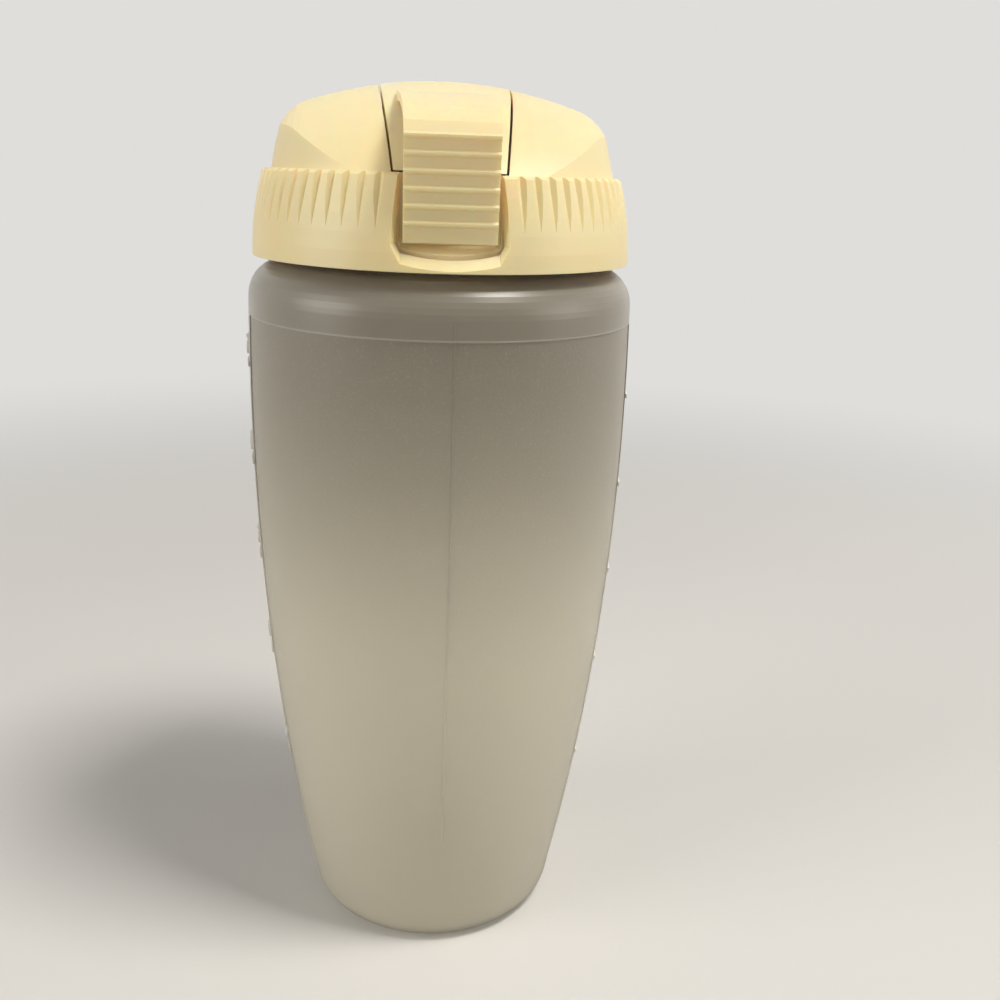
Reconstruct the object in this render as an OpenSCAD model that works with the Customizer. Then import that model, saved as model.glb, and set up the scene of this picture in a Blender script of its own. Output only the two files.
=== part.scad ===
// Salad dressing shaker: a frosted bottle, a domed screw cap and a flip lid with a ribbed thumb lever.
// Millimetres. +Z is up, the origin is the middle of the base, and the thumb lever faces -Y.

/* [Bottle] */
// Height of the body, from the table to the lower edge of the cap
body_h = 163; // [140:1:190]
// Diameter of the body at its widest place
body_d = 87.2; // [86:0.2:96]
// Height of the widest place
belly_z = 132; // [105:1:136]
// Diameter that the curved wall would have at the table
base_d = 60.4; // [50:0.2:68]
// Thickness of the body's wall
body_wall = 1.5; // [1.2:0.1:2.2]
// Thickness of the bottom
bottom_t = 2; // [1.6:0.1:3.2]
// Radius of the rounded foot
foot_round = 5.5; // [4:0.5:9]
// Width of the flat ring that stands on the table
foot_ring_w = 2; // [1:0.5:4]
// Height of the hollow under the bottom
push_up_h = 3; // [1.5:0.5:6]
// Radius of the shoulder's rounding
shoulder_round = 8; // [5:0.5:9]
// Gap between the shoulder and the lower edge of the cap
shoulder_gap = 1; // [0.6:0.1:2.5]

/* [Grip panel and measuring marks] */
// Depth of the frosted panel below the smooth band and side strips
panel_step = 0.25; // [0.15:0.05:0.4]
// Distance from the cap down to the panel's upper edge
panel_drop = 12.7; // [11:0.1:20]
// Angle of each smooth side strip, which carries the marks
strip_angle = 28; // [20:1:40]
// Number of measuring bars on each side
mark_n = 5; // [3:1:5]
// Millilitres from bar to bar on the side at -X, half a metric cup
mark_ml = 125; // [100:5:130]
// Millilitres from bar to bar on the side at +X, four fluid ounces
mark_oz_ml = 118.3; // [100:0.1:130]
// Length of a bar, as an angle around the bottle
mark_angle = 24; // [5:1:26]
// Height of a bar's outline
mark_h = 1; // [0.6:0.1:1.6]
// How far a bar stands out of the wall
mark_proud = 0.4; // [0.2:0.1:0.7]

/* [Neck] */
// Thickness of the neck's wall
neck_wall = 1.9; // [1.5:0.1:2.6]
// Height of the thread ridges, on the neck and in the cap
thread_h = 1.3; // [0.9:0.1:1.4]
// Gap between a thread ridge and the wall that it faces
thread_gap = 0.3; // [0.2:0.05:0.4]

/* [Cap skirt] */
// Diameter of the cap's lower edge
skirt_d = 84; // [83:0.2:86]
// Height of the skirt, from its lower edge to the ledge
skirt_h = 18.1; // [17:0.1:21]
// Radius of the skirt's curve, seen from the side
skirt_curve = 60; // [45:1:90]
// Thickness of the skirt
skirt_wall = 1.9; // [1.6:0.1:2.2]
// Thickness of the ledge and of the sealing land under it
ledge_t = 1.8; // [1.4:0.1:2.2]
// Thickness of the threaded sleeve inside the skirt
sleeve_wall = 1.5; // [1.2:0.1:1.6]
// Gap between the sleeve's top and the skirt
sleeve_gap = 1.3; // [1.2:0.1:3]
// Number of flutes round the skirt
flute_n = 72; // [48:4:80]
// Depth of a flute at the ledge
flute_d = 0.9; // [0.5:0.1:1.1]
// Width of a flute at the ledge
flute_w = 2; // [1.4:0.1:2.2]
// Height at which the flutes run out
flute_z = 7.6; // [5:0.2:11]

/* [Cap dome] */
// Width of the ledge round the dome's foot
ledge_w = 1.5; // [1.3:0.1:2]
// Height of the dome's highest place above the ledge
dome_h = 19.1; // [18.8:0.1:19.6]
// Distance of the highest place behind the middle
arch_y = 6.5; // [5.5:0.1:7]
// Radius of the dome's arch from front to back
arch_r = 55; // [54:0.5:58]
// Radius of the dome's curve from side to side
cross_r = 96; // [80:1:110]
// Radius of the dome's shoulders at the sides
dome_round = 9.7; // [8.5:0.1:10]
// Distance of a shoulder's centre inside the dome's foot
round_in = 11; // [10.5:0.1:12]
// Lean of the dome's steep side
dome_lean = 15; // [13:0.5:16]
// Thickness of the dome
dome_wall = 1.8; // [1.4:0.1:2]

/* [Channel and pour spout] */
// Width of the channel over the top and at the hinge
chan_w = 28.7; // [27:0.1:30]
// Width of the channel at the front foot of the dome
chan_front_w = 21.6; // [20.6:0.1:24]
// Depth of the channel below the dome
chan_d = 5; // [4.6:0.1:5.4]
// Thickness of the channel's floor and walls
chan_wall = 1.6; // [1.3:0.1:1.8]
// Distance of the pour hole in front of the middle
spout_y = 14; // [12:0.5:15]
// Diameter of the pour hole
spout_d = 12; // [10:0.5:12.5]
// Width of the raised rim round the pour hole
spout_rim_w = 1.4; // [1.2:0.1:1.8]
// Height of the rim above the channel's floor
spout_rim_h = 1.4; // [1:0.1:1.5]

/* [Flip lid] */
// How far the lid stands above the dome
lid_proud = 0.2; // [0.1:0.1:1.2]
// Thickness of the lid
lid_t = 2; // [1.6:0.1:2.2]
// Gap between the lid and the channel's edges
lid_slit = 0.5; // [0.3:0.05:0.8]
// Gap between the lid's front edge and the ledge
lid_front_gap = 0.3; // [0.2:0.05:0.6]
// Distance of the hinge inside the dome's foot
hinge_in = 7.2; // [7:0.1:7.6]
// Height of the hinge above the ledge
hinge_h = 6.7; // [6.6:0.1:7]
// Radius of the hinge knuckles
knuckle_r = 3.3; // [2.9:0.1:3.4]
// Diameter of the hinge pins on the knuckles
pin_d = 4; // [3:0.1:4.2]
// Length of each hinge pin beyond its knuckle
pin_l = 2.6; // [2:0.1:3]
// Gap round each hinge pin
pin_gap = 0.05; // [0.03:0.01:0.1]
// Width of each knuckle
knuckle_w = 4.5; // [3.5:0.1:6]
// Angle at which the opened lid meets its stop
stop_angle = 118; // [105:1:120]

/* [Thumb lever] */
// Distance of the lever's root in front of the middle
lever_root_y = 13; // [12:0.5:16]
// Width of the lever at its root
lever_root_w = 20.8; // [19:0.1:21]
// Width of the ribbed thumb face
lever_w = 18; // [16:0.1:18.2]
// How far the lever's lip stands in front of the skirt
lip_out = 0.6; // [0.2:0.1:1]
// Height of the lip above the ledge
lip_h = 6.9; // [6.4:0.1:7.4]
// Setback of the thumb face's lower end behind the lip
face_setback = 3.1; // [2.6:0.1:3.2]
// Height of the lever's lower end above the cap's lower edge
lever_end_z = 5.4; // [5:0.1:8]
// Thickness of the lever
lever_t = 1.8; // [1.5:0.1:1.9]
// Number of ribs on the thumb face
rib_n = 6; // [4:1:6]
// Distance between two ribs
rib_pitch = 3.15; // [2.8:0.05:3.2]
// Height of a rib above the thumb face
rib_proud = 0.55; // [0.3:0.05:0.7]

/* [Finger recess in the skirt] */
// Thickness between the recess's floor and the neck's room
recess_back = 2.3; // [2.2:0.05:2.4]
// Width of the recess's floor
recess_w = 19.2; // [18.8:0.1:20.4]
// Height at which the floor starts to run out
recess_z = 5; // [3.4:0.1:5.2]

/* [Seals] */
// Thickness of the ring seal in the cap
gasket_t = 1.4; // [1:0.1:2]
// Play of the ring seal inside the sleeve
gasket_play = 0.3; // [0.1:0.05:0.5]
// Gap between a seal and the rim that it closes
seal_gap = 0.05; // [0.03:0.01:0.15]
// Thickness of the pour hole seal's flange
seal_t = 1.1; // [0.8:0.1:1.3]
// Gap between the seal's plug and the pour hole
plug_gap = 0.55; // [0.45:0.05:0.8]
// Depth of the plug in the pour hole
plug_l = 1.6; // [1.4:0.1:1.8]
// Taper of the plug, which leaves the slanted hole along a curve
plug_taper = 1.2; // [1:0.1:1.6]

/* [Hidden] */
$fn = 96;

// Bottle
skirt_r = skirt_d / 2;
land_z = skirt_h - ledge_t;
sleeve_r = skirt_at(land_z) - skirt_wall - sleeve_gap;
bore_r = sleeve_r - sleeve_wall;
neck_r = bore_r - thread_h - thread_gap;
mouth_r = neck_r - neck_wall;
belly_r = body_d / 2;
belly_curve = (pow(belly_z, 2) + pow(belly_r - base_d / 2, 2)) / (2 * (belly_r - base_d / 2));
shoulder_z = body_h - shoulder_gap;
rim_z = body_h + skirt_h - ledge_t - gasket_t - seal_gap;
rim_round = 0.5;
foot_lean = asin((belly_z - foot_round) / belly_curve);
foot_top = foot_round * (1 - sin(foot_lean));
foot_c = [wall_r(foot_top) - foot_round * cos(foot_lean), foot_round];
should_lean = asin((shoulder_z - shoulder_round - belly_z) / belly_curve);
should_low = shoulder_z - shoulder_round * (1 - sin(should_lean));
should_c = [wall_r(should_low) - shoulder_round * cos(should_lean), shoulder_z - shoulder_round];
push_r = foot_c[0] - foot_ring_w;
push_curve = (pow(push_r, 2) + pow(push_up_h, 2)) / (2 * push_up_h);
panel_top = body_h - panel_drop;
panel_fade = 22;

// Cap, measured from its lower edge
ledge_r = skirt_at(skirt_h);
land_in_r = mouth_r;
dome_r = ledge_r - ledge_w;
dome_top = skirt_h + dome_h;
arch_z = dome_top - arch_r;
cross_c = [arch_r - cross_r, 0];
round_x = dome_r - round_in;
round_c = [cross_c[0] + sqrt(pow(cross_r - dome_round, 2) - pow(round_x, 2)), round_x];
round_a = asin(round_x / (cross_r - dome_round));
floor_r = arch_r - chan_d;
sill_y = sqrt(pow(floor_r - chan_wall, 2) - pow(skirt_h - arch_z, 2)) - arch_y;
spout_r = spout_d / 2;
spout_lean = asin((spout_y + arch_y) / floor_r);
spout_top = floor_r + spout_rim_h;
recess_y = bore_r + recess_back;
recess_flare = 0.62;
recess_out = skirt_r + 4;
beyond = 2 * dome_h;

// Flip lid, measured from the cap's lower edge
hinge_y = dome_r - hinge_in;
hinge = [hinge_y, skirt_h + hinge_h];
tail_angle = 58;
web_angle = 135;
tail_r = dome_reach(hinge, tail_angle, lid_proud);
hinge_play = 0.35;
lip_y = skirt_r + lip_out;
lip_z = skirt_h + lip_h;
lever_end_y = lip_y - face_setback;
seal_top = spout_top + seal_gap + seal_t;
nub_r = 2.5;

// Radius of the bottle's outer wall at height z
function wall_r(z) = belly_r - belly_curve + sqrt(pow(belly_curve, 2) - pow(z - belly_z, 2));
// Radius of the cap's skirt at height z
function skirt_at(z) = skirt_r - skirt_curve + sqrt(pow(skirt_curve, 2) - pow(z, 2));
// Height of the dome's arch, moved outward by off, at distance y in front of the middle
function crown_z(y, off) = arch_z + sqrt(pow(arch_r + off, 2) - pow(y + arch_y, 2));
// Distance from a point to the dome's arch, along the angle a
function dome_reach(p, a, off) =
    let (d = p - [arch_y, arch_z], b = d[0] * cos(a) + d[1] * sin(a))
    -b + sqrt(b * b - d * d + pow(arch_r + off, 2));
// Half the channel's width at distance y in front of the middle
function chan_half(y) = chan_w / 2 - (chan_w - chan_front_w) / 2 * pow(max(0, y) / dome_r, 1.6);
// Integral of the bottle's inner cross section from the widest place, for a height u above it
function bore_sum(u) =
    let (a = belly_r - belly_curve - body_wall, s = sqrt(pow(belly_curve, 2) - pow(u, 2)))
    PI * (a * a * u + a * (u * s + pow(belly_curve, 2) * asin(u / belly_curve) * PI / 180)
        + pow(belly_curve, 2) * u - pow(u, 3) / 3);
// Volume that the bottle holds up to height z, in cubic millimetres
function held(z) = bore_sum(z - belly_z) - bore_sum(bottom_t + push_up_h / 2 - belly_z);
// Height to which a volume fills the bottle, found between low and high by halving
function level(v, low, high, n = 14) =
    let (mid = (low + high) / 2)
    n == 0 ? mid : held(mid) < v ? level(v, mid, high, n - 1) : level(v, low, mid, n - 1);
// Points on an arc round c, from angle a to angle b
function arc(c, r, a, b, n) = [for (i = [0:n]) let (t = a + (b - a) * i / n) c + r * [cos(t), sin(t)]];
// A step from a point along the angle a
function ray(p, a, l) = p + l * [cos(a), sin(a)];
// Depth of the thumb face at height z
function face_y(z) = lip_y - face_setback * (lip_z - z) / (lip_z - lever_end_z);

// Draws a side view, with Y to the right and Z up, as wide as w along X
module side_view(w) {
    rotate([90, 0, 90])
        linear_extrude(w, center = true)
            children();
}

// Outline of the bottle's cross section, outside and then inside
module bottle_section() {
    wall_n = 22;
    span = should_low - foot_top;
    inner_r = shoulder_round - body_wall;
    polygon(concat(
        arc([0, push_up_h - push_curve], push_curve, 90, 90 - asin(push_r / push_curve), 6),
        arc(foot_c, foot_round, -90, -foot_lean, 8),
        [for (i = [1:wall_n]) let (z = foot_top + span * i / wall_n) [wall_r(z), z]],
        arc(should_c, shoulder_round, should_lean + 8, 90, 9),
        [[neck_r + 0.8, shoulder_z], [neck_r, shoulder_z + 0.8]],
        [[neck_r, rim_z - rim_round], [neck_r - rim_round, rim_z]],
        [[mouth_r + rim_round, rim_z], [mouth_r, rim_z - rim_round]],
        [[mouth_r, shoulder_z - body_wall - 0.4], [mouth_r + 0.4, shoulder_z - body_wall]],
        arc(should_c, inner_r, 90, should_lean + 8, 9),
        [for (i = [wall_n:-1:1]) let (z = foot_top + span * i / wall_n) [wall_r(z) - body_wall, z]],
        arc(foot_c, foot_round - body_wall, -foot_lean, -90, 8),
        arc([0, push_up_h + bottom_t - push_curve], push_curve, 90 - asin(push_r / push_curve), 90, 6)
    ));
}

// The thin layer that the frosted panel is sunk by, on one half of the bottle
module panel_cut() {
    low = foot_top + 2;
    n = 16;
    rotate([0, 0, strip_angle / 2])
        rotate_extrude(angle = 180 - strip_angle)
            polygon(concat(
                [for (i = [0:n]) let (z = low + (panel_top - low) * i / n)
                    [wall_r(z) - panel_step * min(1, (z - low) / panel_fade), z]],
                [[belly_r + 3, panel_top], [belly_r + 3, low]]
            ));
}

// One raised measuring bar at height z
module mark_bar(z) {
    rotate([0, 0, -mark_angle / 2])
        rotate_extrude(angle = mark_angle)
            polygon([
                [wall_r(z) - body_wall / 2, z - mark_h / 2],
                [wall_r(z - mark_h / 2) + mark_proud, z - mark_h / 2],
                [wall_r(z + mark_h / 2) + mark_proud, z + mark_h / 2],
                [wall_r(z) - body_wall / 2, z + mark_h / 2]
            ]);
}

// The blown bottle: curved body, pushed-up bottom, rounded shoulder and wide neck
module bottle() {
    color([0.72, 0.7, 0.63, 0.75])
        union() {
            difference() {
                rotate_extrude()
                    bottle_section();
                panel_cut();
                rotate([0, 0, 180])
                    panel_cut();
            }
            for (i = [1:mark_n]) {
                mark_bar(level(i * mark_oz_ml * 1000, foot_top, panel_top));
                rotate([0, 0, 180])
                    mark_bar(level(i * mark_ml * 1000, foot_top, panel_top));
            }
        }
}

// The flat ring seal that the cap presses on the rim of the neck
module cap_gasket() {
    color([0.93, 0.92, 0.88])
        translate([0, 0, body_h + land_z - gasket_t])
            difference() {
                cylinder(r = bore_r - gasket_play, h = gasket_t);
                translate([0, 0, -1])
                    cylinder(r = mouth_r - 0.4, h = gasket_t + 2);
            }
}

// Half the outline of the arch across the cap, moved outward by off: distance from its axis, then X
module arch_outline(off) {
    n = 14;
    polygon(concat(
        [[0, -round_x - dome_round - off]],
        arc([round_c[0], -round_x], dome_round + off, -90, -round_a, 7),
        [for (i = [1:n - 1]) let (t = (2 * i / n - 1) * round_a) cross_c + (cross_r + off) * [cos(t), sin(t)]],
        arc(round_c, dome_round + off, round_a, 90, 7),
        [[0, round_x + dome_round + off]]
    ));
}

// The dome's solid, moved outward by off: a steep round side under a top that arches from front to back
module dome_solid(off) {
    side_h = dome_h + 5;
    low_r = dome_r + off / cos(dome_lean);
    intersection() {
        translate([0, 0, skirt_h])
            cylinder(r1 = low_r, r2 = low_r - side_h * tan(dome_lean), h = side_h);
        translate([0, arch_y, arch_z])
            rotate([0, 90, 0])
                rotate_extrude()
                    arch_outline(off);
    }
}

// Places what stands upright on the arch at the pour hole, measured from the arch's axis
module at_spout() {
    translate([0, arch_y, arch_z])
        rotate([spout_lean, 0, 0])
            children();
}

// Plan of the channel, or of what fills it, with its sides moved outward by grow
module chan_plan(grow) {
    n = 8;
    reach = dome_r + 6;
    polygon(concat(
        [[-chan_w / 2 - grow, reach], [-chan_w / 2 - grow, 0]],
        [for (i = [1:n]) let (y = dome_r * i / n) [-chan_half(y) - grow, -y]],
        [[-chan_front_w / 2 - grow, -reach], [chan_front_w / 2 + grow, -reach]],
        [for (i = [n:-1:1]) let (y = dome_r * i / n) [chan_half(y) + grow, -y]],
        [[chan_w / 2 + grow, 0], [chan_w / 2 + grow, reach]]
    ));
}

// Cross section of the skirt, ledge, sealing land and threaded sleeve
module cap_section() {
    n = 5;
    skirt_top = skirt_h - 0.6;
    polygon(concat(
        [for (i = [0:n]) let (z = skirt_top * i / n) [skirt_at(z), z]],
        [[ledge_r - 0.5, skirt_h], [land_in_r, skirt_h], [land_in_r, land_z]],
        [for (i = [n:-1:0]) let (z = land_z * i / n) [skirt_at(z) - skirt_wall, z]]
    ));
    translate([bore_r, 1])
        square([sleeve_wall, land_z]);
}

// One V-shaped flute, deepest at the ledge, on the side facing +X
module flute() {
    rise = skirt_h - flute_z;
    run = skirt_at(flute_z) - (ledge_r - flute_d);
    lean = atan2(run, rise);
    length = sqrt(rise * rise + run * run) + 2;
    translate([skirt_at(flute_z), 0, flute_z])
        rotate([0, -lean, 0])
            linear_extrude(length)
                polygon([[0, 0], [2, -flute_w / flute_d], [2, flute_w / flute_d]]);
}

// The scoop in the skirt behind the thumb lever, with flared sides and a floor that runs out below
module finger_recess() {
    low_w = recess_w / 2;
    out_w = low_w + recess_flare * (recess_out - recess_y);
    run_out_y = skirt_r + 0.1;
    slope = (recess_z - 0.3) / (run_out_y - recess_y);
    low_z = recess_z - slope * (recess_out - recess_y);
    translate([0, 0, recess_z])
        linear_extrude(skirt_h - recess_z + 1)
            polygon([[-low_w, -recess_y], [-out_w, -recess_out], [out_w, -recess_out], [low_w, -recess_y]]);
    polyhedron(
        points = [
            [-low_w, -recess_y, recess_z], [low_w, -recess_y, recess_z],
            [out_w, -recess_out, recess_z], [-out_w, -recess_out, recess_z],
            [low_w, -recess_out, low_z], [-low_w, -recess_out, low_z]
        ],
        faces = [[0, 1, 2, 3], [0, 5, 4, 1], [1, 4, 2], [0, 3, 5], [2, 4, 5, 3]]
    );
}

// What the lid's knuckles and tail sweep through when it turns, down to its stop
module hinge_room() {
    stop = tail_angle - stop_angle;
    side_view(chan_w)
        union() {
            translate(hinge)
                circle(knuckle_r + hinge_play);
            intersection() {
                translate(hinge)
                    circle(tail_r + hinge_play);
                polygon(concat([hinge], [for (i = [0:5]) ray(hinge, stop + (150 - stop) * i / 5, beyond)]));
            }
            // Way out for the strap, which is farther from the hinge than its tail
            polygon([hinge, ray(hinge, stop + 14, beyond), ray(hinge, 0, beyond)]);
        }
}

// The screw cap: fluted skirt, ledge, dome, channel, pour spout and hinge seats
module screw_cap() {
    ear_w = pin_l + chan_wall;
    color([0.95, 0.9, 0.75])
        translate([0, 0, body_h])
            difference() {
                union() {
                    rotate_extrude()
                        cap_section();
                    // Shell of the dome
                    difference() {
                        dome_solid(0);
                        translate([0, 0, -0.01])
                            dome_solid(-dome_wall);
                    }
                    // Walls and floor of the channel, under the dome
                    difference() {
                        intersection() {
                            dome_solid(0);
                            linear_extrude(dome_top + 1)
                                chan_plan(chan_wall);
                        }
                        translate([0, 0, -0.01])
                            dome_solid(-chan_d - chan_wall);
                    }
                    // Sill between the channel's floor and the ledge
                    intersection() {
                        translate([0, 0, land_z])
                            cylinder(r = land_in_r + 0.5, h = ledge_t);
                        translate([-chan_w / 2 - chan_wall, -2 * dome_r, 0])
                            cube([chan_w + 2 * chan_wall, 2 * dome_r - sill_y, 2 * skirt_h]);
                    }
                    // Bed and ears of the hinge
                    intersection() {
                        dome_solid(0);
                        union() {
                            translate([-chan_w / 2 - ear_w, hinge_y - knuckle_r - 3, skirt_h - 1])
                                cube([chan_w + 2 * ear_w, 30, hinge_h + 1]);
                            for (side = [-1, 1])
                                translate([side * (chan_w + ear_w) / 2, hinge_y, skirt_h + dome_h / 2])
                                    cube([ear_w, 2 * knuckle_r + 3, dome_h], center = true);
                        }
                    }
                    // Raised rim of the pour hole
                    at_spout()
                        translate([0, 0, floor_r - chan_wall])
                            cylinder(r = spout_r + spout_rim_w, h = spout_rim_h + chan_wall);
                    // Backing of the finger recess
                    intersection() {
                        cylinder(r = ledge_r, h = skirt_h - 0.6);
                        translate([-recess_w / 2 - 3.4, -skirt_r, 0])
                            cube([recess_w + 6.8, skirt_r - bore_r * 0.9, skirt_h - 0.6]);
                    }
                }
                // Channel over the dome
                difference() {
                    translate([0, 0, skirt_h])
                        linear_extrude(dome_h + 5)
                            chan_plan(0);
                    translate([0, 0, -0.01])
                        dome_solid(-chan_d);
                    translate([0, hinge_y + 15 - knuckle_r - 3, skirt_h - 1])
                        cube([chan_w + 2, 30, 2 * hinge_h + 2], center = true);
                    at_spout()
                        cylinder(r = spout_r + spout_rim_w, h = spout_top);
                }
                hinge_room();
                translate([0, hinge_y, hinge[1]])
                    rotate([0, 90, 0])
                        cylinder(d = pin_d + 2 * pin_gap, h = chan_w + 2 * pin_l + 0.4, center = true);
                at_spout()
                    translate([0, 0, floor_r - 2 * chan_wall - 1])
                        cylinder(r = spout_r, h = 2 * chan_wall + 3);
                translate([0, 0, -1])
                    cylinder(r = bore_r, h = land_z + 1);
                finger_recess();
                for (i = [0:flute_n - 1])
                    let (a = i * 360 / flute_n, off = abs(a > 270 ? a - 270 : 270 - a))
                        if (off > asin(chan_front_w / 2 / ledge_r))
                            rotate([0, 0, a])
                                flute();
            }
}

// Side view of the lever: arched top, lip, ribbed thumb face and plain inside
module lever_side() {
    rise = crown_z(lever_root_y, lid_proud) - lip_z;
    long = lip_y - lever_root_y;
    root = [-lever_root_y, lip_z];
    polygon(concat(
        [for (t = [90:-7.5:15]) root + [-long * cos(t), rise * sin(t)]],
        [for (i = [0:rib_n - 1]) let (z = lip_z - 0.2 - i * rib_pitch)
            each [
                [-face_y(z + 0.55), z + 0.55],
                [-face_y(z) - rib_proud, z + 0.1],
                [-face_y(z) - rib_proud + 0.05, z - 0.3],
                [-face_y(z - 0.75), z - 0.75]
            ]],
        [[-lever_end_y, lever_end_z], [-lever_end_y + lever_t - 0.3, lever_end_z]],
        [for (t = [0:10:90]) root + [-(long - lever_t) * cos(t), (rise - lid_t) * sin(t)]]
    ));
}

// The flip lid: a strap that follows the dome, with hinge knuckles behind and the thumb lever in front
module flip_lid() {
    half = chan_w / 2 - lid_slit;
    color([0.96, 0.91, 0.77])
        translate([0, 0, body_h])
            union() {
                // Strap
                difference() {
                    intersection() {
                        dome_solid(lid_proud);
                        linear_extrude(dome_top + 5)
                            chan_plan(-lid_slit);
                    }
                    translate([0, 0, -0.01])
                        dome_solid(lid_proud - lid_t);
                    translate([0, -dome_r, skirt_h])
                        cube([2 * chan_w, 2 * dome_r, 2 * lid_front_gap], center = true);
                    side_view(2 * chan_w)
                        polygon([
                            hinge, ray(hinge, tail_angle, beyond),
                            hinge + [beyond, -beyond], hinge + [0, -beyond]
                        ]);
                }
                // Knuckles, with webs up to the strap, and the bar between them
                for (side = [-1, 1])
                    translate([side * (half - knuckle_w / 2), 0, 0])
                        side_view(knuckle_w)
                            translate(hinge)
                                circle(knuckle_r);
                for (side = [-1, 1])
                    intersection() {
                        translate([side * (half - knuckle_w / 2), 0, 0])
                            side_view(knuckle_w)
                                polygon([hinge, ray(hinge, tail_angle, beyond), ray(hinge, web_angle, beyond)]);
                        dome_solid(lid_proud - lid_t / 2);
                    }
                translate([0, hinge_y, hinge[1]])
                    rotate([0, 90, 0])
                        cylinder(r = knuckle_r - 0.9, h = 2 * half - knuckle_w, center = true);
                // Hinge pins
                translate([0, hinge_y, hinge[1]])
                    rotate([0, 90, 0])
                        cylinder(d = pin_d, h = chan_w + 2 * pin_l, center = true);
                // Thumb lever
                intersection() {
                    side_view(2 * chan_w)
                        lever_side();
                    linear_extrude(dome_top + 5)
                        polygon([
                            [-lever_root_w / 2, -lever_root_y + 1], [-lever_w / 2, -lip_y + 2], [-lever_w / 2, -lip_y - 5],
                            [lever_w / 2, -lip_y - 5], [lever_w / 2, -lip_y + 2], [lever_root_w / 2, -lever_root_y + 1]
                        ]);
                }
                // Pad and nub that hold the pour hole's seal
                intersection() {
                    at_spout()
                        translate([0, 0, seal_top])
                            cylinder(r = spout_r + spout_rim_w + 0.6, h = dome_h);
                    dome_solid(lid_proud - lid_t / 2);
                }
                at_spout()
                    translate([0, 0, seal_top - seal_t - plug_l + 1])
                        cylinder(r = nub_r, h = plug_l + seal_t);
            }
}

// The soft stopper under the lid, with a flange on the rim and a tapered plug in the pour hole
module spout_seal() {
    plug_r = spout_r - plug_gap;
    color([0.9, 0.88, 0.82])
        translate([0, 0, body_h])
            at_spout()
                translate([0, 0, seal_top - seal_t])
                    difference() {
                        union() {
                            cylinder(r = spout_r + spout_rim_w, h = seal_t);
                            translate([0, 0, -plug_l])
                                cylinder(r1 = plug_r - plug_taper, r2 = plug_r, h = plug_l + 0.2);
                        }
                        translate([0, 0, 1 - plug_l])
                            cylinder(r = nub_r + 0.05, h = plug_l + seal_t);
                    }
}

bottle();
cap_gasket();
screw_cap();
flip_lid();
spout_seal();
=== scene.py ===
"""Dresses the salad dressing shaker and sets it in a plain studio.

The bottle, screw cap, flip lid and both seals are solids of the frame. Here they get their
finishes, and the screw threads, the mould's parting lines and the volume numbers are added.
"""

import logging
import math
from dataclasses import dataclass
from enum import Enum
from typing import Callable

import bmesh
import bpy
from mathutils import Euler, Matrix, Vector


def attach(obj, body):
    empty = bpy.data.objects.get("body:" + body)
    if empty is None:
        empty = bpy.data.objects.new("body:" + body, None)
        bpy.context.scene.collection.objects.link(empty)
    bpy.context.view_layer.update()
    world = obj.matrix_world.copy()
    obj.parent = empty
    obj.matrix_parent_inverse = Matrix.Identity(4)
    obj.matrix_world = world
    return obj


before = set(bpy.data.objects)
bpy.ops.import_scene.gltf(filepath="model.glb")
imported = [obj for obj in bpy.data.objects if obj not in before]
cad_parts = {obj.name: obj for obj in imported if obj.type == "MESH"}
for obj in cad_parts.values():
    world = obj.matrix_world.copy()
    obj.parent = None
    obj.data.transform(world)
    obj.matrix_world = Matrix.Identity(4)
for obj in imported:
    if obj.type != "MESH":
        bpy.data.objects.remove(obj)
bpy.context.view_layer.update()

LOG = logging.getLogger("shaker")
MM = 0.001
PLASTIC_IOR = 1.49
LAMP_AIM = (0.0, 0.0, 0.12)

# Round the piece, the scuffs are longer than they are high
SCUFF_STRETCH = (60.0, 60.0, 1400.0)
SCUFF_RANGE = (0.62, 0.74)
SCUFF_ROUGH = 0.06

Triple = tuple[float, float, float]
Span = tuple[float, float]


class Body(Enum):
    """The rigid bodies that a piece can ride on."""

    VESSEL = "vessel"
    CAP = "cap"
    LID = "lid"


class Side(Enum):
    """The two sides of the bottle that carry measuring marks."""

    MILLILITRES = -1
    OUNCES = 1


# ---------------------------------------------------------------- mesh helpers


def deselect_all() -> None:
    """Leaves edit mode and deselects every object."""
    if bpy.context.object is not None and bpy.context.object.mode != "OBJECT":
        bpy.ops.object.mode_set(mode="OBJECT")
    bpy.ops.object.select_all(action="DESELECT")


def activate(obj: bpy.types.Object) -> None:
    """Makes one object the only selected and active one.

    Args:
        obj: The object to work on.
    """
    deselect_all()
    obj.select_set(True)
    bpy.context.view_layer.objects.active = obj


def edit_select(obj: bpy.types.Object, test: Callable[[Vector], bool]) -> None:
    """Enters edit mode with only the vertices selected whose place passes a test.

    Args:
        obj: The mesh object.
        test: Tells from a place whether the vertex there is wanted.
    """
    activate(obj)
    bpy.ops.object.mode_set(mode="EDIT")
    bpy.ops.mesh.select_mode(type="VERT")
    bpy.ops.mesh.select_all(action="DESELECT")
    bm = bmesh.from_edit_mesh(obj.data)
    for vert in bm.verts:
        if test(vert.co):
            vert.select_set(True)
    bm.select_flush_mode()
    bmesh.update_edit_mesh(obj.data)


def apply_modifiers(obj: bpy.types.Object) -> None:
    """Applies each modifier of an object in order.

    Args:
        obj: The object whose modifiers become mesh.
    """
    activate(obj)
    for modifier in list(obj.modifiers):
        bpy.ops.object.modifier_apply(modifier=modifier.name)


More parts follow.
